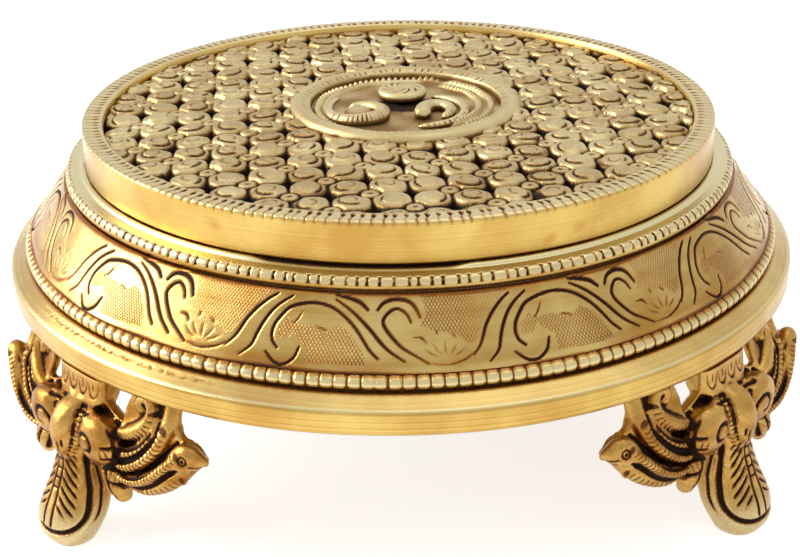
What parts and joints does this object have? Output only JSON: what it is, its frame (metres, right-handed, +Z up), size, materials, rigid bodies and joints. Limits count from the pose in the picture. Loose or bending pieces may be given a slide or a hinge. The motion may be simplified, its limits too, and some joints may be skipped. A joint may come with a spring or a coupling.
{
  "type": "low table",
  "caption": "Round cast-brass bajot: a flower-lattice top with a centre medallion, in a plain rim over an engraved conical skirt and a flange on scrolled bird-and-leaf legs.",
  "frame": {"origin": "centre of the table's footprint, on the floor", "axes": "+Z up along the table's axis, -Y the front, midway between the two front legs, +X to the right of someone facing the front"},
  "size_m": [0.1994, 0.1994, 0.0786],
  "materials": {
    "turned_brass": "lathe-turned and polished, faint turning lines, dark line in the corners",
    "polished_brass": "polished and hand engraved, dark patina in the cuts",
    "pale_brass": "cast relief rubbed bright on top, brown-black patina in the recesses",
    "cast_brass": "sand-cast and chased, bright edges over dark patina",
    "steel_hardware": "plain hidden hardware"
  },
  "bodies": {
    "root": {"drum_ring": "turned_brass", "skirt": "polished_brass", "base_ring": "turned_brass", "lattice_plate": "pale_brass", "centre_medallion": "pale_brass", "medallion_washer": "steel_hardware", "medallion_nut": "steel_hardware", "leg_front_right": "cast_brass", "leg_front_left": "cast_brass", "leg_rear_right": "cast_brass", "leg_rear_left": "cast_brass"}
  },
  "joints": []
}
